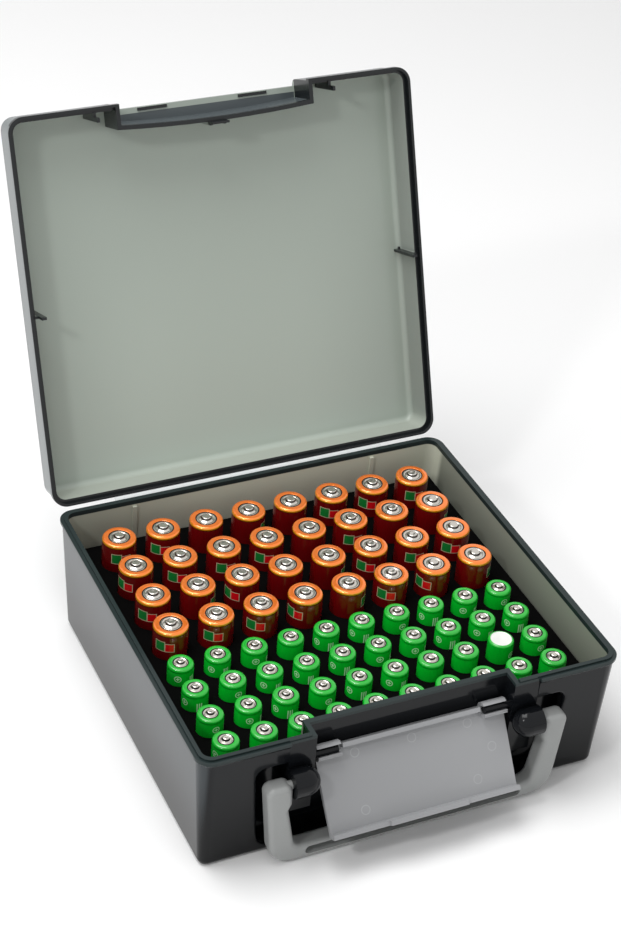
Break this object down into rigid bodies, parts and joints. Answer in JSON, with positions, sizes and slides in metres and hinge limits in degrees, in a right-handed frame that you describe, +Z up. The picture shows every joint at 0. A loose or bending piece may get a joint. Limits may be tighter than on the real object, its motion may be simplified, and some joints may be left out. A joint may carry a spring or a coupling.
{
  "type": "battery storage case with hinged lid",
  "caption": "Smoke-grey plastic battery case with hinged lid, carry handle, latch flap and a black insert holding AA and AAA cells upright",
  "frame": {"origin": "centre of the tub's flat bottom face, which stands on the table", "axes": "+X to the right seen from the front, +Y from the front with the handle toward the hinge, +Z up"},
  "size_m": [0.18, 0.2575, 0.2105],
  "materials": {
    "smoke_plastic": "glossy dark smoke-grey moulded plastic, slightly see-through when thin",
    "smoke_plastic_lid": "satin smoke-grey moulded plastic, see-through against light",
    "grey_plastic": "satin mid-grey moulded plastic",
    "hinge_film": "pale bent film",
    "black_insert": "matt black",
    "aa_jacket": "metallic orange ring over a dark red printed jacket",
    "aaa_jacket": "glossy green printed jacket",
    "nickel": "nickel-plated steel"
  },
  "bodies": {
    "tub": {"tub": "smoke_plastic", "hinge_film_tub_side": "hinge_film", "cell_insert": "black_insert", "aa_cells_row_1": "aa_jacket", "aa_cells_row_2": "aa_jacket", "aa_cells_row_3": "aa_jacket", "aa_cells_row_4": "aa_jacket", "aa_terminals_row_1": "nickel", "aa_terminals_row_2": "nickel", "aa_terminals_row_3": "nickel", "aa_terminals_row_4": "nickel", "aaa_cells_row_1": "aaa_jacket", "aaa_cells_row_2": "aaa_jacket", "aaa_cells_row_3": "aaa_jacket", "aaa_cells_row_4": "aaa_jacket", "aaa_terminals_row_1": "nickel", "aaa_terminals_row_2": "nickel", "aaa_terminals_row_3": "nickel", "aaa_terminals_row_4": "nickel", "aaa_inverted_cell": "aaa_jacket"},
    "lid": {"lid": "smoke_plastic_lid", "hinge_film_lid_side": "hinge_film"},
    "handle": {"carry_handle": "grey_plastic"},
    "latch": {"latch_flap": "grey_plastic"}
  },
  "joints": [
    {"name": "lid_hinge", "type": "hinge", "parent": "tub", "child": "lid", "pos_m": [0, 0.08313, 0.056], "axis": [1, 0, 0], "range_deg": [0, 110.7]},
    {"name": "handle_pivot", "type": "hinge", "parent": "tub", "child": "handle", "pos_m": [0, -0.0842, 0.0382], "axis": [-1, 0, 0], "range_deg": [0, 170]},
    {"name": "latch_pivot", "type": "hinge", "parent": "tub", "child": "latch", "pos_m": [0, -0.077, 0.0435], "axis": [-1, 0, 0], "range_deg": [0, 143.5]}
  ]
}
